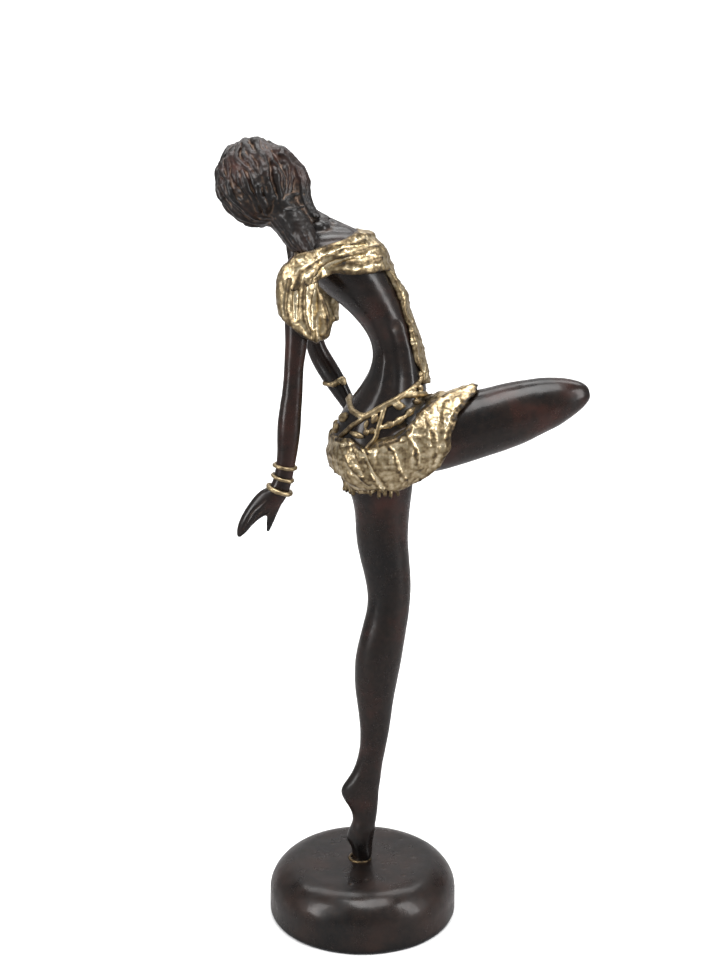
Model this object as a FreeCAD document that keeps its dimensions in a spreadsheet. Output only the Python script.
"""Bronze dancer statuette: a figure on one pointed foot, cast in sections and pinned together on a hollow base.

Frame: origin at the middle of the underside of the base, +Z up, +X towards the raised knee, -Y towards
the side of the hanging arm. Lengths are in millimetres and angles in degrees.
"""
import FreeCAD, Part

import math
import os

import Sketcher

MATCH = 1e-3  # how close a found edge has to be to the one looked for
MESH_STEP = 0.2  # coarseness of the skin that the girdle is laid on
EDGE_SLACK = 1e-6  # share of a triangle that a ray may miss it by

doc = FreeCAD.newDocument("dancer_statuette")
dims = doc.addObject("Spreadsheet::Sheet", "dims")
next_row = 1


def put(alias, value):
    """Writes one driving dimension to the sheet under its alias."""
    global next_row
    dims.set(f"A{next_row}", alias)
    dims.set(f"B{next_row}", str(value))
    dims.setAlias(f"B{next_row}", alias)
    next_row += 1


def size(alias):
    """Reads a dimension back from the sheet."""
    return float(dims.get(alias))


# ---------------------------------------------------------------- driving dimensions

SIZES = {
    # hollow base casting, standing on a felt disc
    "felt_radius": 71.0,
    "felt_thick": 1.5,
    "base_radius": 72.5,
    "base_top": 42.0,
    "base_edge_round": 24.0,
    "base_wall": 5.0,
    "boss_radius": 13.0,
    "boss_foot": 24.0,
    "boss_relief": 0.5,
    "stud_hole_radius": 4.2,
    # stud, washer and nut that hold the figure down
    "stud_radius": 4.0,
    "stud_foot": 13.0,
    "stud_head": 76.0,
    "stud_chamfer": 0.8,
    "washer_radius": 9.0,
    "washer_thick": 1.6,
    "nut_across_flats": 13.0,
    "nut_thick": 6.5,
    "nut_chamfer": 0.7,
    # braze bead where the toes meet the base
    "bead_major": 7.9,
    "bead_minor": 1.5,
    # locating pins between the cast sections
    "pin_radius": 2.5,
    "pin_gap": 0.05,
    "pin_length": 24.0,
    "bore_extra": 1.0,
    "press_gap": 0.02,
    # cloth and jewellery
    "cloth": 2.3,
    "band_thick": 3.0,
    "bell_wall": 2.0,
    "panel_wide": 15.0,
    "panel_deep": 8.0,
    "cord_radius": 1.25,
    "cord_gap": 0.05,
    "leaf_thick": 1.5,
    # girdle axis
    "girdle_x": 16.5,
    "girdle_reach": 70.0,
    # head
    "head_x": -69.0,
    "head_y": 4.0,
    "head_z": 562.0,
    "head_yaw": -33.0,
    "head_pitch": -27.0,
    "head_roll": 33.0,
    # raised shin and foot, each drawn along its own axis
    "shin_x": 150.0,
    "shin_y": -5.0,
    "shin_z": 409.0,
    "shin_yaw": 159.0,
    "shin_pitch": 106.0,
    "foot_x": 27.0,
    "foot_y": 42.5,
    "foot_z": 373.0,
    "foot_yaw": 175.0,
    "foot_pitch": 158.0,
}

# Each ring of a limb is: name, centre x, y, z, lean about Y, half depth, half width.
STANDING_LEG = [
    ("toe", -2.0, 0.0, 42.0, 0, 7.9, 7.4),
    ("ball", -0.8, 0.0, 54.0, 0, 8.3, 8.1),
    ("arch", 0.9, 0.5, 72.0, 0, 9.2, 8.0),
    ("instep", 0.0, 1.0, 88.0, 0, 12.0, 8.1),
    ("heel", -2.0, 1.5, 98.5, 0, 14.6, 8.2),
    ("ankle", 1.9, 2.0, 110.0, 0, 12.2, 8.4),
    ("above_ankle", 5.4, 3.0, 122.0, 0, 10.3, 8.6),
    ("shin_low", 8.8, 4.0, 141.0, 0, 10.6, 9.6),
    ("calf_low", 9.6, 5.0, 169.0, 0, 13.8, 12.0),
    ("calf", 12.0, 6.5, 204.0, 0, 17.6, 15.5),
    ("calf_top", 16.0, 7.0, 227.0, 0, 17.0, 15.0),
    ("knee", 20.0, 9.0, 253.0, 0, 16.2, 14.8),
    ("above_knee", 18.2, 10.0, 274.0, 0, 17.7, 15.8),
    ("thigh", 14.8, 11.0, 300.0, 0, 19.4, 18.0),
    ("thigh_top", 14.1, 12.0, 331.0, 0, 22.2, 20.6),
    ("hip", 14.0, 13.0, 352.0, 0, 23.6, 21.6),
]
TORSO = [
    ("seat", 13.0, 0.0, 352.0, 0, 26.0, 33.0),
    ("hips", 13.0, 0.0, 378.0, 0, 34.6, 35.6),
    ("hip_top", 16.5, 0.0, 400.0, 0, 31.0, 32.0),
    ("flank", 22.0, 0.0, 420.0, -4, 23.5, 26.0),
    ("waist", 23.6, 0.0, 442.0, -10, 17.2, 20.5),
    ("ribs_low", 13.6, 0.0, 471.5, -27, 18.0, 24.0),
    ("ribs", 2.1, 0.0, 489.4, -38, 21.7, 28.0),
    ("chest", -12.3, 0.0, 505.7, -45, 24.5, 32.0),
    ("collarbone", -27.3, 0.0, 516.5, -48, 20.5, 33.0),
    ("neck_root", -37.0, 0.0, 526.0, -50, 13.5, 15.0),
]
NECK = [
    ("neck_foot", -37.0, 0.0, 526.0, -50, 13.5, 15.0),
    ("neck_mid", -46.0, 1.0, 535.5, -42, 11.5, 12.4),
    ("neck_top", -56.0, 3.0, 548.0, -35, 12.0, 12.8),
]
RAISED_THIGH = [
    ("thigh_root", 36.0, -13.0, 381.0, 76, 25.0, 23.0),
    ("thigh_upper", 63.0, -14.0, 385.6, 78, 24.4, 22.0),
    ("thigh_mid", 88.0, -14.0, 393.6, 78, 24.2, 21.0),
    ("thigh_lower", 113.0, -13.0, 401.0, 78, 22.4, 19.0),
    ("over_knee", 130.0, -12.5, 406.3, 78, 19.6, 17.0),
    ("bent_knee", 145.0, -12.0, 410.5, 79, 15.4, 14.5),
    ("knee_front", 155.0, -12.0, 413.3, 80, 10.8, 10.4),
    ("knee_cap", 160.5, -12.0, 414.6, 80, 6.8, 6.6),
    ("knee_tip", 163.0, -12.0, 415.0, 80, 3.0, 2.9),
]
RAISED_SHIN = [
    ("shin_knee", 0.0, 0.0, 0.0, 0, 11.0, 10.5),
    ("shin_top", 0.0, 1.0, 15.0, 0, 13.0, 12.5),
    ("shin_calf", 0.0, 2.0, 46.0, 0, 14.0, 13.4),
    ("shin_taper", 0.0, 1.0, 78.0, 0, 11.8, 11.2),
    ("shin_thin", 0.0, 0.0, 106.0, 0, 8.8, 8.4),
    ("shin_ankle", 0.0, 0.0, 130.0, 0, 7.8, 7.3),
    ("shin_heel", 0.0, 0.0, 141.0, 0, 6.0, 5.6),
]
RAISED_FOOT = [
    ("foot_heel", 1.0, 0.0, -9.0, 0, 5.5, 6.0),
    ("foot_ankle", 0.0, 0.0, 2.0, 0, 8.6, 8.8),
    ("foot_instep", 0.0, 0.0, 22.0, 0, 7.0, 7.4),
    ("foot_ball", 0.0, 0.0, 42.0, 0, 4.8, 8.0),
    ("foot_toes", 0.0, 0.0, 57.0, 0, 3.2, 6.4),
    ("foot_tip", 0.0, 0.0, 62.0, 0, 1.6, 3.6),
]
RIGHT_ARM = [
    ("shoulder_top", -42.0, -33.0, 515.0, 0, 6.0, 5.9),
    ("shoulder", -43.0, -34.5, 507.0, 0, 10.8, 10.5),
    ("deltoid", -44.0, -36.5, 494.0, 0, 11.0, 10.5),
    ("upper_arm", -45.0, -39.0, 474.0, 0, 9.2, 9.0),
    ("mid_arm", -46.4, -41.0, 453.0, 0, 7.9, 7.7),
    ("above_elbow", -48.0, -42.0, 438.0, 0, 7.0, 6.9),
    ("elbow", -49.0, -42.5, 424.0, 0, 7.1, 6.9),
    ("forearm_top", -50.6, -43.0, 409.0, 0, 7.8, 7.2),
    ("forearm", -51.9, -43.5, 394.0, 0, 8.2, 7.3),
    ("forearm_low", -53.5, -44.0, 376.0, 0, 7.1, 6.6),
    ("wrist", -56.4, -44.0, 360.0, 8, 6.6, 6.0),
    ("hand_root", -59.5, -44.0, 351.0, 25, 7.2, 5.8),
    ("palm", -66.0, -44.0, 344.0, 48, 8.8, 6.2),
    ("knuckles", -75.5, -44.0, 336.5, 47, 7.0, 5.6),
    ("fingers", -82.6, -44.0, 328.0, 33, 5.0, 4.7),
    ("fingertips", -86.8, -44.0, 320.5, 25, 3.2, 3.1),
    ("hand_tip", -88.6, -44.0, 316.5, 25, 1.2, 1.1),
]
RIGHT_THUMB = [
    ("thumb_root", -60.5, -44.0, 347.0, 5, 6.4, 5.0),
    ("thumb_mid", -63.8, -44.3, 336.0, 12, 3.9, 3.4),
    ("thumb_low", -66.2, -44.6, 327.0, 14, 2.4, 2.2),
    ("thumb_tip", -67.7, -44.8, 320.5, 14, 1.0, 0.95),
]
LEFT_ARM = [
    ("far_shoulder_top", -30.0, 33.0, 513.0, 0, 6.0, 5.9),
    ("far_shoulder", -31.0, 34.5, 505.0, 0, 10.8, 10.5),
    ("far_deltoid", -32.0, 38.0, 492.0, 0, 10.8, 10.3),
    ("far_upper_arm", -34.5, 47.0, 470.0, 5, 9.0, 8.8),
    ("far_above_elbow", -37.0, 55.0, 452.0, 0, 7.4, 7.2),
    ("far_elbow", -36.0, 58.0, 440.0, -15, 7.3, 7.1),
    ("far_forearm", -29.0, 56.0, 425.0, -28, 8.0, 7.4),
    ("far_forearm_low", -17.5, 49.5, 407.0, -31, 7.2, 6.4),
    ("far_wrist", -9.0, 45.0, 394.0, -31, 6.1, 5.6),
    ("far_palm", -2.5, 43.0, 383.5, -28, 8.2, 4.6),
    ("far_fingers", 3.5, 43.5, 371.5, -25, 6.0, 3.8),
    ("far_tip", 7.0, 43.5, 362.5, -20, 2.6, 2.2),
]
HAIR_TAIL = [
    ("nape", -59.0, -6.0, 550.0, -40, 17.0, 21.0),
    ("tail_top", -49.0, -9.0, 539.5, -45, 16.5, 18.5),
    ("tail", -40.5, -13.0, 529.0, -50, 16.0, 20.0),
    ("tail_end", -34.0, -17.0, 520.0, -52, 14.0, 22.0),
]
COLLAR = [
    ("collar_low", -20.0, 0.0, 500.5, -10, 37.0, 49.0),
    ("collar_mid", -20.6, 0.0, 511.5, -10, 37.0, 49.5),
    ("collar_top", -21.5, 0.0, 523.0, -10, 34.5, 47.0),
]
RIGHT_SLEEVE = [
    ("sleeve_top", -45.0, -38.0, 500.0, 0, 12.8, 12.0),
    ("sleeve_mid", -45.5, -40.0, 483.0, 15, 14.0, 13.0),
    ("sleeve_hem", -44.5, -41.0, 466.0, 38, 16.4, 15.0),
]
LEFT_SLEEVE = [
    ("far_sleeve_top", -32.0, 38.0, 497.0, 0, 12.6, 12.0),
    ("far_sleeve_mid", -33.5, 42.0, 483.0, 8, 14.0, 13.0),
    ("far_sleeve_hem", -33.5, 48.5, 464.0, 18, 15.5, 14.5),
]
SKIRT_HIPS = [
    ("skirt_hem", 14.5, 1.0, 346.0, 0, 28.5, 36.0),
    ("skirt_low", 15.0, 0.0, 358.0, 0, 35.0, 41.0),
    ("skirt_full", 15.5, 0.0, 374.0, -9, 41.5, 43.0),
    ("skirt_top", 16.0, 0.0, 388.0, -18, 42.0, 42.5),
]
SKIRT_THIGH = [
    ("leg_hole_inner", 36.0, -13.0, 381.0, 80, 28.2, 26.4),
    ("leg_hole_hem", 62.0, -14.0, 386.5, 118, 36.5, 25.5),
]
RUFFLE = [
    ("ruffle_low", 14.0, 12.3, 339.0, 0, 25.3, 24.0),
    ("ruffle_mid", 14.0, 12.5, 346.0, 0, 27.3, 26.0),
    ("ruffle_top", 13.6, 12.2, 353.0, 0, 26.4, 25.4),
]

# Rounded masses added to the lofted limbs: name, centre x, y, z, half length along X, Y, Z.
BODY_MASSES = [
    ("far_buttock", -2.5, 13.0, 376.0, 19.5, 19.0, 20.0),
    ("near_buttock", 27.0, -17.0, 374.0, 26.0, 22.0, 23.0),
    ("near_breast", 1.5, -13.0, 508.0, 12.0, 12.0, 12.0),
    ("far_breast", 1.5, 13.0, 508.0, 12.0, 12.0, 12.0),
]
HEAD_MASSES = [
    ("skull", 0.0, -3.0, 3.0, 22.5, 27.0, 25.0),
    ("face", 0.0, 7.0, -12.0, 17.0, 17.5, 22.5),
    ("nose", 0.0, 23.5, -13.0, 3.2, 4.0, 5.5),
    ("right_ear", 22.0, -1.0, -6.0, 2.4, 4.0, 6.0),
    ("left_ear", -22.0, -1.0, -6.0, 2.4, 4.0, 6.0),
]
HAIR_CAP = ("hair_cap", 0.0, -4.5, 5.0, 28.5, 31.5, 30.0)
# The face opening of the hair: a block in the head's own axes, tipped back about the ears.
FACE_OPENING = {"opening_y": 8.0, "opening_z": 3.0, "opening_tip": 24.0, "opening_size": 80.0}

# Bangles: name, centre x, y, z, lean about Y, ring radius, wire radius.
BANGLES = [
    ("upper_bangle", -55.0, -44.0, 368.0, 9, 7.6, 1.2),
    ("middle_bangle", -56.7, -44.0, 359.8, 17, 7.4, 1.2),
    ("lower_bangle", -59.0, -44.0, 351.0, 20, 8.4, 1.5),
]

# Locating pins: name, middle x, y, z, lean about Y, length factor. Each crosses one joint between sections.
PINS = [
    ("neck_pin", -37.0, 0.0, 526.0, -50, 1.0),
    ("right_shoulder_pin", -33.0, -27.0, 507.0, 0, 0.6),
    ("left_shoulder_pin", -24.0, 27.0, 507.0, 0, 0.6),
    ("standing_hip_pin", 14.0, 10.0, 352.0, 0, 1.2),
    ("raised_hip_pin", 47.0, -13.0, 383.0, 78, 1.2),
    ("knee_pin", 136.0, -1.0, 405.5, 0, 0.5),
]

# Girdle cords as (bearing, height) round the hips; bearing 0 is the front and 270 the near side.
WAIST_CORD = [
    (184, 411.5),
    (193, 411.0),
    (207, 407.0),
    (222, 399.0),
    (238, 395.7),
    (265, 404.0),
    (288, 409.6),
    (310, 411.0),
    (338, 408.0),
    (0, 403.0),
    (22, 408.0),
    (50, 411.0),
    (72, 409.6),
    (95, 404.0),
    (122, 396.0),
    (138, 399.0),
    (153, 407.0),
    (167, 411.0),
    (176, 411.5),
]
# Branches start and end just clear of the waist cord.
BRANCH_CORDS = [
    [
        (237, 392.0), (226, 388.0), (213, 383.5), (196, 380.0), (180, 378.0),
        (164, 380.0), (147, 383.5), (134, 388.0), (123, 392.0),
    ],
    [(268, 401.0), (263, 394.0), (257, 385.4), (250, 378.0)],
    [(92, 401.0), (97, 394.0), (103, 385.4), (110, 378.0)],
]
BROW_CORDS = [
    [(306, 415.5), (325, 422.0), (345, 433.0)],
    [(54, 415.5), (35, 422.0), (15, 433.0)],
]
# Leaves: bearing, height, half length, half width, slope in the surface. The first covers the cord's tied ends.
LEAVES = [
    (180, 417.0, 4.4, 2.8, 5),
    (212, 396.6, 3.6, 2.9, 20),
    (197, 387.6, 3.2, 2.8, 30),
    (237, 388.0, 4.2, 1.9, 22),
    (246, 390.0, 2.0, 1.7, 75),
    (251, 392.0, 2.0, 1.7, 75),
    (247, 396.4, 2.7, 1.6, 70),
    (256, 400.4, 3.3, 2.0, 60),
    (291, 408.0, 3.7, 2.1, 10),
    (274, 394.6, 4.8, 2.0, 22),
    (289, 399.0, 5.2, 2.0, 32),
    (303, 404.0, 4.0, 1.9, 38),
    (316, 409.6, 2.6, 1.9, 20),
    (333, 418.0, 3.0, 1.7, 30),
    (343, 425.0, 3.2, 1.7, 60),
    (353, 417.0, 2.8, 1.8, 120),
    (150, 396.6, 3.6, 2.9, 160),
    (123, 388.0, 4.2, 1.9, 158),
    (109, 395.0, 2.7, 1.6, 110),
    (86, 394.6, 4.8, 2.0, 158),
    (69, 408.0, 3.7, 2.1, 170),
    (71, 399.0, 5.2, 2.0, 148),
    (57, 404.0, 4.0, 1.9, 142),
    (27, 418.0, 3.0, 1.7, 150),
    (17, 425.0, 3.2, 1.7, 120),
]


# ---------------------------------------------------------------- filling the sheet

RING_KEYS = ("x", "y", "z", "lean", "deep", "wide")
MASS_KEYS = ("x", "y", "z", "rx", "ry", "rz")
BANGLE_KEYS = ("x", "y", "z", "lean", "ring", "wire")
PIN_KEYS = ("x", "y", "z", "lean", "share")


def put_table(rows, keys):
    """Gives every number of a table a cell named after its row and column."""
    for row in rows:
        for key, value in zip(keys, row[1:]):
            put(f"{row[0]}_{key}", value)


for alias, value in {**SIZES, **FACE_OPENING}.items():
    put(alias, value)
for limb in (
    STANDING_LEG, TORSO, NECK, RAISED_THIGH, RAISED_SHIN, RAISED_FOOT, RIGHT_ARM, RIGHT_THUMB,
    LEFT_ARM, HAIR_TAIL, COLLAR, RIGHT_SLEEVE, LEFT_SLEEVE, SKIRT_HIPS, SKIRT_THIGH, RUFFLE,
):
    put_table(limb, RING_KEYS)
put_table(BODY_MASSES + HEAD_MASSES + [HAIR_CAP], MASS_KEYS)
put_table(BANGLES, BANGLE_KEYS)
put_table(PINS, PIN_KEYS)
doc.recompute()


# ---------------------------------------------------------------- building blocks

def place(obj, base, turn=("0", "0", "0")):
    """Binds an object's place and its yaw, pitch and roll to expressions."""
    spot = f"create(<<vector>>; {'; '.join(base)})"
    rotation = f"create(<<rotation>>; {'; '.join(turn)})"
    obj.setExpression("Placement", f"create(<<placement>>; {spot}; {rotation})")


def cells(name, keys=("x", "y", "z")):
    return [f"dims.{name}_{key}" for key in keys]


def ring(name, along, grow="0", prefix=""):
    """One elliptical section. along is the axis that carries its longer half size, X or Y."""
    obj = doc.addObject("Part::Ellipse", f"{prefix}{name}")
    deep, wide = f"dims.{name}_deep + {grow}", f"dims.{name}_wide + {grow}"
    lean = f"dims.{name}_lean"
    if along == "X":
        obj.setExpression("MajorRadius", deep)
        obj.setExpression("MinorRadius", wide)
        place(obj, cells(name), ("0", lean, "0"))
    else:
        obj.setExpression("MajorRadius", wide)
        obj.setExpression("MinorRadius", deep)
        place(obj, cells(name), ("90", "0", lean))
    return obj


def loft(label, rings, along, grow="0"):
    """A closed solid through a limb's sections, each grown by the same amount."""
    obj = doc.addObject("Part::Loft", label)
    obj.Sections = [ring(row[0], along, grow, f"{label}_") for row in rings]
    obj.Solid = True
    obj.Ruled = False
    return obj


def mass(row, frame=None):
    """An ellipsoid. With a frame, its place is in that frame's own axes."""
    name = row[0]
    obj = doc.addObject("Part::Ellipsoid", name)
    obj.Angle1, obj.Angle2, obj.Angle3 = -90, 90, 360
    obj.setExpression("Radius1", f"dims.{name}_rz")
    obj.setExpression("Radius2", f"dims.{name}_rx")
    obj.setExpression("Radius3", f"dims.{name}_ry")
    if frame is None:
        place(obj, cells(name))
    else:
        spot = f"create(<<vector>>; {'; '.join(cells(name))})"
        local = f"create(<<placement>>; {spot}; create(<<rotation>>; 0; 0; 0))"
        obj.setExpression("Placement", f"{frame} * {local}")
    return obj


def frame_of(name):
    """The expression of a named frame: its place and its yaw, pitch and roll."""
    spot = "; ".join(cells(name))
    turn = "; ".join(f"dims.{name}_{key}" for key in ("yaw", "pitch", "roll"))
    return f"create(<<placement>>; create(<<vector>>; {spot}); create(<<rotation>>; {turn}))"


def fuse(label, *objects):
    obj = doc.addObject("Part::MultiFuse", label)
    obj.Shapes = list(objects)
    obj.Refine = False
    return obj


def cut(label, base, tool):
    obj = doc.addObject("Part::Cut", label)
    obj.Base, obj.Tool = base, tool
    obj.Refine = False
    return obj


def common(label, *objects):
    obj = doc.addObject("Part::MultiCommon", label)
    obj.Shapes = list(objects)
    obj.Refine = False
    return obj


def feature(label, shape):
    obj = doc.addObject("Part::Feature", label)
    obj.Shape = shape
    return obj


def cylinder(label, radius, height, base, turn=("0", "0", "0")):
    obj = doc.addObject("Part::Cylinder", label)
    obj.setExpression("Radius", radius)
    obj.setExpression("Height", height)
    place(obj, base, turn)
    return obj


def body(label):
    """A PartDesign body and a function that finds one of its origin planes."""
    made = doc.addObject("PartDesign::Body", label)
    made.Label = label

    def plane(role):
        return next(o for o in made.Origin.OriginFeatures if o.Role == role)

    return made, plane


def circle_sketch(part, plane, name, height, *radii):
    """Concentric circles on a level plane, each radius bound to an expression."""
    sketch = part.newObject("Sketcher::SketchObject", name)
    sketch.AttachmentSupport = [(plane("XY_Plane"), "")]
    sketch.MapMode = "FlatFace"
    sketch.setExpression("AttachmentOffset.Base.z", height)
    for index, radius in enumerate(radii):
        centre = FreeCAD.Vector(0, 0, 0)
        start_radius = 10 + index
        sketch.addGeometry(Part.Circle(centre, FreeCAD.Vector(0, 0, 1), start_radius))
        sketch.addConstraint(Sketcher.Constraint("Coincident", index, 3, -1, 1))
        fixed = sketch.addConstraint(Sketcher.Constraint("Radius", index, start_radius))
        sketch.setExpression(f"Constraints[{fixed}]", radius)
    return sketch


def pad(part, sketch, name, length):
    obj = part.newObject("PartDesign::Pad", name)
    obj.Profile = sketch
    obj.setExpression("Length", length)
    return obj


def pocket(part, sketch, name, length):
    """A pocket cut upwards from its sketch."""
    obj = part.newObject("PartDesign::Pocket", name)
    obj.Profile = sketch
    obj.Reversed = True
    obj.setExpression("Length", length)
    return obj


def edges_at(shape, height, radius):
    """Names of the round edges at a height that have a radius."""
    found = []
    for index, edge in enumerate(shape.Edges, 1):
        curve = edge.Curve
        if not isinstance(curve, Part.Circle):
            continue
        if abs(curve.Center.z - height) < MATCH and abs(curve.Radius - radius) < MATCH:
            found.append(f"Edge{index}")
    return found


# ---------------------------------------------------------------- base and its fastening

def make_felt():
    part, plane = body("base_felt")
    outline = circle_sketch(part, plane, "felt_outline", "0", "dims.felt_radius")
    pad(part, outline, "felt_sheet", "dims.felt_thick")
    return part


def make_base():
    """A round drum, hollow below, with a boss in the middle for the stud."""
    part, plane = body("base_casting")
    outline = circle_sketch(part, plane, "base_outline", "dims.felt_thick", "dims.base_radius")
    pad(part, outline, "base_block", "dims.base_top - dims.felt_thick")
    doc.recompute()
    solid_volume = part.Shape.Volume
    inside = "dims.base_radius - dims.base_wall"
    hollow = circle_sketch(part, plane, "hollow_outline", "dims.felt_thick", inside, "dims.boss_radius")
    pocket(part, hollow, "hollow", "dims.base_top - dims.base_wall - dims.felt_thick")
    doc.recompute()
    roof = size("base_top") - size("base_wall")
    cavity = part.Tip
    inner = part.newObject("PartDesign::Fillet", "hollow_edge")
    inner.Base = (cavity, edges_at(cavity.Shape, roof, size("base_radius") - size("base_wall")))
    inner.setExpression("Radius", "dims.base_edge_round - dims.base_wall")
    doc.recompute()
    rounded = part.Tip
    outer = part.newObject("PartDesign::Fillet", "base_edge")
    outer.Base = (rounded, edges_at(rounded.Shape, size("base_top"), size("base_radius")))
    outer.setExpression("Radius", "dims.base_edge_round")
    boss = circle_sketch(part, plane, "boss_recess", "dims.felt_thick", "dims.boss_radius + dims.boss_relief")
    pocket(part, boss, "boss_shortening", "dims.boss_foot - dims.felt_thick")
    hole = circle_sketch(part, plane, "stud_hole_outline", "dims.felt_thick", "dims.stud_hole_radius")
    pocket(part, hole, "stud_hole", "dims.base_top")
    doc.recompute()
    if part.Shape.Volume > solid_volume / 2:
        raise RuntimeError("the base was not hollowed")
    return part


def make_stud():
    part, plane = body("figure_stud")
    outline = circle_sketch(part, plane, "stud_outline", "dims.stud_foot", "dims.stud_radius")
    pad(part, outline, "stud_rod", "dims.stud_head - dims.stud_foot")
    doc.recompute()
    rod = part.Tip
    ends = edges_at(rod.Shape, size("stud_foot"), size("stud_radius"))
    ends += edges_at(rod.Shape, size("stud_head"), size("stud_radius"))
    chamfer = part.newObject("PartDesign::Chamfer", "stud_ends")
    chamfer.Base = (rod, ends)
    chamfer.setExpression("Size", "dims.stud_chamfer")
    return part


def make_washer():
    part, plane = body("stud_washer")
    foot = "dims.boss_foot - dims.washer_thick"
    outline = circle_sketch(part, plane, "washer_outline", foot, "dims.washer_radius", "dims.stud_hole_radius")
    pad(part, outline, "washer_plate", "dims.washer_thick")
    return part


def make_nut():
    """Hexagon nut under the washer, with its corners turned off."""
    part, plane = body("stud_nut")
    top = "dims.boss_foot - dims.washer_thick"
    sketch = part.newObject("Sketcher::SketchObject", "nut_outline")
    sketch.AttachmentSupport = [(plane("XY_Plane"), "")]
    sketch.MapMode = "FlatFace"
    sketch.setExpression("AttachmentOffset.Base.z", f"{top} - dims.nut_thick")
    across = size("nut_across_flats")
    corner = across / math.sqrt(3)
    corners = [
        FreeCAD.Vector(corner * math.cos(math.radians(60 * k)), corner * math.sin(math.radians(60 * k)), 0)
        for k in range(6)
    ]
    for k in range(6):
        sketch.addGeometry(Part.LineSegment(corners[k], corners[(k + 1) % 6]))
    for k in range(6):
        sketch.addConstraint(Sketcher.Constraint("Coincident", k, 2, (k + 1) % 6, 1))
    guide = sketch.addGeometry(Part.Circle(FreeCAD.Vector(0, 0, 0), FreeCAD.Vector(0, 0, 1), corner), True)
    sketch.addConstraint(Sketcher.Constraint("Coincident", guide, 3, -1, 1))
    for k in range(6):
        sketch.addConstraint(Sketcher.Constraint("PointOnObject", k, 1, guide))
    for k in range(5):
        sketch.addConstraint(Sketcher.Constraint("Equal", k, k + 1))
    sketch.addConstraint(Sketcher.Constraint("PointOnObject", 0, 1, -1))
    fixed = sketch.addConstraint(Sketcher.Constraint("Radius", guide, corner))
    sketch.setExpression(f"Constraints[{fixed}]", "dims.nut_across_flats / sqrt(3)")
    pad(part, sketch, "nut_block", "dims.nut_thick")
    bore_radius = "dims.stud_radius + dims.press_gap"
    bore = circle_sketch(part, plane, "nut_bore_outline", f"{top} - dims.nut_thick", bore_radius)
    pocket(part, bore, "nut_bore", "dims.nut_thick")
    return part


# ---------------------------------------------------------------- the figure's masses before fitting

def make_forms():
    """The overlapping raw masses. The fitted castings are cut from these."""
    forms = {}
    forms["torso"] = fuse("torso_form", loft("torso_loft", TORSO, "Y"), *[mass(row) for row in BODY_MASSES])
    forms["leg"] = loft("leg_form", STANDING_LEG, "X")
    forms["thigh"] = loft("thigh_form", RAISED_THIGH, "X")
    shin = loft("shin_loft", RAISED_SHIN, "X")
    place(shin, cells("shin"), ("dims.shin_yaw", "dims.shin_pitch", "0"))
    foot = loft("foot_loft", RAISED_FOOT, "Y")
    place(foot, cells("foot"), ("dims.foot_yaw", "dims.foot_pitch", "0"))
    forms["shin"] = fuse("shin_form", shin, foot)
    thumb = loft("thumb_loft", RIGHT_THUMB, "X")
    forms["right_arm"] = fuse("right_arm_form", loft("arm_loft", RIGHT_ARM, "X"), thumb)
    forms["left_arm"] = loft("left_arm_form", LEFT_ARM, "X")
    head_frame = frame_of("head")
    head_masses = [mass(row, head_frame) for row in HEAD_MASSES]
    forms["head"] = fuse("head_form", loft("neck_loft", NECK, "Y"), *head_masses)
    forms["hair"] = make_hair_form(head_frame)
    return forms


def make_hair_form(head_frame):
    """The hair cap, open over the face, with the locks that fall down the neck."""
    cap = mass(HAIR_CAP, head_frame)
    opening = doc.addObject("Part::Box", "face_opening")
    for edge in ("Length", "Width", "Height"):
        opening.setExpression(edge, "dims.opening_size")
    tip = "create(<<rotation>>; 0; 0; -dims.opening_tip)"
    corner = "create(<<vector>>; -dims.opening_size / 2; dims.opening_y; -dims.opening_size / 2)"
    middle = "create(<<placement>>; create(<<vector>>; 0; 0; dims.opening_z); " + tip + ")"
    shift = f"create(<<placement>>; {corner}; create(<<rotation>>; 0; 0; 0))"
    opening.setExpression("Placement", f"{head_frame} * {middle} * {shift}")
    open_cap = cut("open_hair_cap", cap, opening)
    return fuse("hair_form", open_cap, loft("hair_tail", HAIR_TAIL, "Y"))


CROSS_PINS = ("right_shoulder_pin", "left_shoulder_pin", "knee_pin")


def make_pins():
    """The steel locating pins, and the clearance cylinders that bore for them."""
    pins, bores = {}, {}
    for row in PINS:
        name = row[0]
        length = f"dims.pin_length * dims.{name}_share"
        turn = ("0", "0", "90") if name in CROSS_PINS else ("0", f"dims.{name}_lean", "0")
        pins[name] = centred_cylinder(name, "dims.pin_radius", length, cells(name), turn)
        bores[name] = centred_cylinder(
            f"{name}_bore", "dims.pin_radius + dims.pin_gap", f"{length} + dims.bore_extra", cells(name), turn
        )
    return pins, bores


def centred_cylinder(label, radius, length, base, turn):
    """A cylinder whose middle sits at base, turned about that middle."""
    obj = doc.addObject("Part::Cylinder", label)
    obj.setExpression("Radius", radius)
    obj.setExpression("Height", length)
    rotation = f"create(<<rotation>>; {'; '.join(turn)})"
    middle = f"create(<<placement>>; create(<<vector>>; {'; '.join(base)}); {rotation})"
    back = f"create(<<placement>>; create(<<vector>>; 0; 0; -({length}) / 2); create(<<rotation>>; 0; 0; 0))"
    obj.setExpression("Placement", f"{middle} * {back}")
    return obj


# ---------------------------------------------------------------- fitted castings

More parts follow.
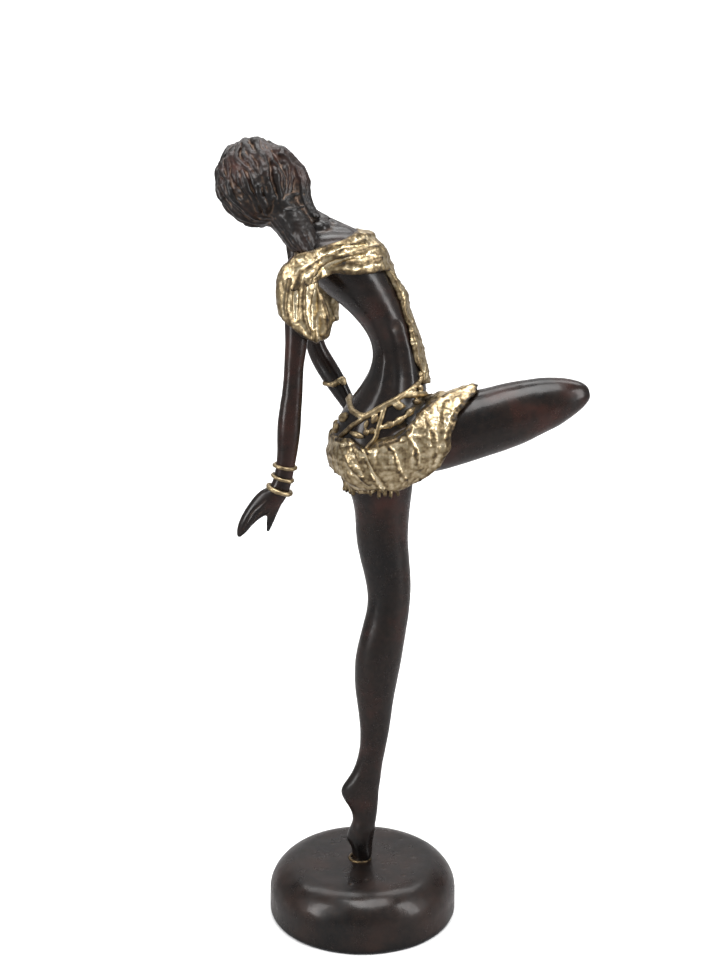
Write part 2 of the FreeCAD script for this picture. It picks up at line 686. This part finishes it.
def make_castings(forms, bores):
    """Each section is coped to its neighbours and bored for its pins."""
    stud_bore = cylinder(
        "stud_bore",
        "dims.stud_radius + dims.press_gap",
        "dims.stud_head - dims.base_top + dims.bore_extra",
        ["0", "0", "dims.base_top - dims.bore_extra / 2"],
    )
    torso_bores = fuse(
        "torso_bores",
        bores["neck_pin"],
        bores["right_shoulder_pin"],
        bores["left_shoulder_pin"],
        bores["standing_hip_pin"],
        bores["raised_hip_pin"],
    )
    torso = cut("torso", forms["torso"], torso_bores)
    leg = cut("standing_leg", forms["leg"], fuse("leg_cutters", stud_bore, bores["standing_hip_pin"]))
    thigh = cut(
        "raised_thigh",
        forms["thigh"],
        fuse("thigh_cutters", forms["torso"], forms["leg"], bores["raised_hip_pin"], bores["knee_pin"]),
    )
    shin = cut(
        "raised_shin",
        forms["shin"],
        fuse("shin_cutters", forms["torso"], forms["thigh"], forms["leg"], bores["knee_pin"]),
    )
    right_arm_cutters = fuse("right_arm_cutters", forms["torso"], bores["right_shoulder_pin"])
    right_arm = cut("right_arm", forms["right_arm"], right_arm_cutters)
    left_arm_cutters = fuse("left_arm_cutters", forms["torso"], bores["left_shoulder_pin"])
    left_arm = cut("left_arm", forms["left_arm"], left_arm_cutters)
    head = cut("head", forms["head"], fuse("head_cutters", forms["torso"], bores["neck_pin"]))
    hair = cut("hair", forms["hair"], fuse("hair_cutters", forms["torso"], forms["head"], forms["right_arm"]))
    return {
        "torso": torso, "standing_leg": leg, "raised_thigh": thigh, "raised_shin": shin,
        "right_arm": right_arm, "left_arm": left_arm, "head": head, "hair": hair,
    }


# ---------------------------------------------------------------- dress and jewellery

def shell(label, rings, along, wall):
    """A band open at both ends: a loft with a thinner copy of itself taken out."""
    inner = loft(f"{label}_inner", rings, along, f"0 - dims.{wall}")
    return cut(f"{label}_shell", loft(f"{label}_outer", rings, along), inner)


def make_dress(forms, skirt_reach):
    upper = [forms[name] for name in ("torso", "head", "hair", "right_arm", "left_arm")]
    body_form = fuse("upper_body", *upper)
    collar = cut("collar", shell("collar", COLLAR, "Y", "band_thick"), body_form)
    right_outer = loft("right_sleeve_outer", RIGHT_SLEEVE, "X")
    right_inner = loft("right_sleeve_inner", RIGHT_SLEEVE, "X", "0 - dims.bell_wall")
    left_outer = loft("left_sleeve_outer", LEFT_SLEEVE, "X")
    left_inner = loft("left_sleeve_inner", LEFT_SLEEVE, "X", "0 - dims.bell_wall")
    collar_outer = loft("collar_reach", COLLAR, "Y")
    right_sleeve = cut(
        "right_sleeve", cut("right_bell", right_outer, right_inner),
        fuse("right_sleeve_cutters", forms["torso"], forms["right_arm"], collar_outer),
    )
    left_sleeve = cut(
        "left_sleeve", cut("left_bell", left_outer, left_inner),
        fuse("left_sleeve_cutters", forms["torso"], forms["left_arm"], collar_outer),
    )
    dress = {"collar": collar, "right_sleeve": right_sleeve, "left_sleeve": left_sleeve}
    dress["front_panel"] = make_front_panel(forms, collar_outer)
    dress["skirt"] = make_skirt(forms, skirt_reach)
    dress["skirt_ruffle"] = cut(
        "skirt_ruffle",
        loft("ruffle_loft", RUFFLE, "X"),
        fuse("ruffle_cutters", forms["leg"], forms["torso"], skirt_reach, forms["thigh"], forms["shin"]),
    )
    return dress


def make_front_panel(forms, collar_outer):
    """A strip of cloth down the front of the torso, from the collar to the girdle."""
    coat = loft("panel_coat", TORSO[3:8], "Y", "dims.cloth")
    strip_rings = []
    for row in TORSO[3:8]:
        name = row[0]
        obj = doc.addObject("Part::Ellipse", f"panel_{name}")
        obj.setExpression("MajorRadius", "dims.panel_wide")
        obj.setExpression("MinorRadius", "dims.panel_deep")
        lean = f"dims.{name}_lean"
        out = f"dims.{name}_deep"
        forward = f"dims.{name}_x + {out} * cos({lean} * 1deg)"
        upward = f"dims.{name}_z - {out} * sin({lean} * 1deg)"
        base = [forward, "0", upward]
        place(obj, base, ("90", "0", lean))
        strip_rings.append(obj)
    strip = doc.addObject("Part::Loft", "panel_strip")
    strip.Sections = strip_rings
    strip.Solid = True
    panel = common("panel_blank", coat, strip)
    return cut("front_panel", panel, fuse("panel_cutters", forms["torso"], collar_outer, forms["thigh"]))


def make_skirt_reach():
    """All that lies inside the skirt's outer face: the hips and the root of the raised thigh."""
    return fuse("skirt_reach", loft("skirt_hips", SKIRT_HIPS, "Y"), loft("skirt_thigh", SKIRT_THIGH, "X"))


def make_skirt(forms, skirt_reach):
    """The short skirt, hollowed by the body inside it."""
    lower = [forms[name] for name in ("torso", "thigh", "leg", "shin", "left_arm")]
    return cut("skirt", skirt_reach, fuse("lower_body", *lower))


def skin_of(shape):
    """The triangles of a shape's skin, as corners measured from the girdle axis."""
    points, triangles = shape.tessellate(MESH_STEP)
    axis = FreeCAD.Vector(size("girdle_x"), 0, 0)
    return [tuple(points[k] - axis for k in triangle) for triangle in triangles]


def skin_point(skin, bearing, height, lift):
    """The point of a skin at a bearing and height about the girdle axis, lifted off by a little."""
    angle = math.radians(bearing)
    out = FreeCAD.Vector(math.cos(angle), math.sin(angle), 0)
    side = FreeCAD.Vector(-out.y, out.x, 0)
    reach = 0.0
    for corners in skin:
        heights = [corner.z - height for corner in corners]
        if min(heights) > 0 or max(heights) < 0:
            continue
        sides = [corner.dot(side) for corner in corners]
        if min(sides) > 0 or max(sides) < 0:
            continue
        first, second, third = corners
        normal = (second - first).cross(third - first)
        slope = normal.dot(out)
        if slope == 0.0:
            continue
        along = normal.dot(first - FreeCAD.Vector(0, 0, height)) / slope
        hit = out * along + FreeCAD.Vector(0, 0, height)
        shares = [
            (b - a).cross(hit - a).dot(normal)
            for a, b in ((first, second), (second, third), (third, first))
        ]
        if min(shares) >= -EDGE_SLACK * normal.dot(normal):
            reach = max(reach, along)
    if reach == 0.0:
        raise RuntimeError(f"no skin at bearing {bearing} and height {height}")
    return FreeCAD.Vector(size("girdle_x"), 0, height) + out * (reach + lift)


def cord(skin, path):
    """A round cord that follows a path of bearings and heights, resting on a skin."""
    lift = size("cord_radius") + size("cord_gap")
    curve = Part.BSplineCurve()
    curve.interpolate([skin_point(skin, bearing, height, lift) for bearing, height in path])
    start = curve.value(curve.FirstParameter)
    heading = curve.tangent(curve.FirstParameter)[0]
    section = Part.Wire(Part.makeCircle(size("cord_radius"), start, heading))
    return Part.Wire(curve.toShape()).makePipeShell([section], True, False)


def make_girdle(forms, skirt_reach):
    """Vine cords with leaves round the hips, one applied piece, seated on the skin and the skirt's edge."""
    hips = forms["torso"].Shape
    skirt_round_hips = skirt_reach.Shapes[0].Shape
    hip_skin = skin_of(hips)
    ground = hip_skin + skin_of(skirt_round_hips)
    pieces = [cord(hip_skin, path) for path in [WAIST_CORD] + BROW_CORDS]
    pieces += [cord(ground, path) for path in BRANCH_CORDS]
    pieces += [leaf(ground, *row).cut(hips).cut(skirt_reach.Shape) for row in LEAVES]
    return feature("girdle", Part.makeCompound([solid for piece in pieces for solid in piece.Solids]))


def leaf(ground, bearing, height, length, width, slope):
    """One flat oval leaf lying on the skin, its long axis at a slope to the level."""
    ball = Part.makeSphere(1.0)
    scale = FreeCAD.Matrix()
    scale.scale(size("leaf_thick"), length, width)
    shape = ball.transformGeometry(scale)
    turn = FreeCAD.Rotation(FreeCAD.Vector(0, 0, 1), bearing).multiply(
        FreeCAD.Rotation(FreeCAD.Vector(1, 0, 0), slope)
    )
    shape.Placement = FreeCAD.Placement(skin_point(ground, bearing, height, 0.0), turn)
    return shape


def make_bangles(forms):
    made = {}
    for row in BANGLES:
        name = row[0]
        wire = doc.addObject("Part::Torus", f"{name}_wire")
        wire.setExpression("Radius1", f"dims.{name}_ring")
        wire.setExpression("Radius2", f"dims.{name}_wire")
        place(wire, cells(name), ("0", f"dims.{name}_lean", "0"))
        made[name] = cut(name, wire, forms["right_arm"])
    return made


def make_bead(forms):
    """The ring of braze left where the toes meet the top of the base."""
    wire = doc.addObject("Part::Torus", "bead_wire")
    wire.setExpression("Radius1", "dims.bead_major")
    wire.setExpression("Radius2", "dims.bead_minor")
    place(wire, ["dims.toe_x", "dims.toe_y", "dims.base_top"])
    below = doc.addObject("Part::Box", "bead_floor")
    below.setExpression("Length", "dims.base_radius")
    below.setExpression("Width", "dims.base_radius")
    below.setExpression("Height", "dims.base_top")
    place(below, ["-dims.base_radius / 2", "-dims.base_radius / 2", "0"])
    return cut("foot_bead", wire, fuse("bead_cutters", below, forms["leg"]))


# ---------------------------------------------------------------- assembly

def build():
    nodes = {
        "base_felt": make_felt(),
        "base_casting": make_base(),
        "figure_stud": make_stud(),
        "stud_washer": make_washer(),
        "stud_nut": make_nut(),
    }
    forms = make_forms()
    pins, bores = make_pins()
    nodes.update(pins)
    nodes.update(make_castings(forms, bores))
    skirt_reach = make_skirt_reach()
    nodes.update(make_dress(forms, skirt_reach))
    nodes["foot_bead"] = make_bead(forms)
    nodes.update(make_bangles(forms))
    doc.recompute()
    check_states()
    nodes["girdle"] = make_girdle(forms, skirt_reach)
    doc.recompute()
    return nodes


def check_states():
    for obj in doc.Objects:
        if "Invalid" in obj.State or "Error" in obj.State:
            raise RuntimeError(f"{obj.Label} failed: {obj.State}")


def check(nodes):
    check_states()
    for name, obj in nodes.items():
        obj.Label = name
        shape = obj.Shape
        if shape.isNull() or not shape.isValid() or not shape.Solids:
            raise RuntimeError(f"{name} has no valid solid")


def export(nodes):
    os.makedirs("parts", exist_ok=True)
    for name, obj in nodes.items():
        obj.Shape.exportStep(f"parts/{name}.step")
        print(f"{name:20s} solids {len(obj.Shape.Solids):2d} volume {obj.Shape.Volume:10.1f}")


nodes = build()
check(nodes)
export(nodes)
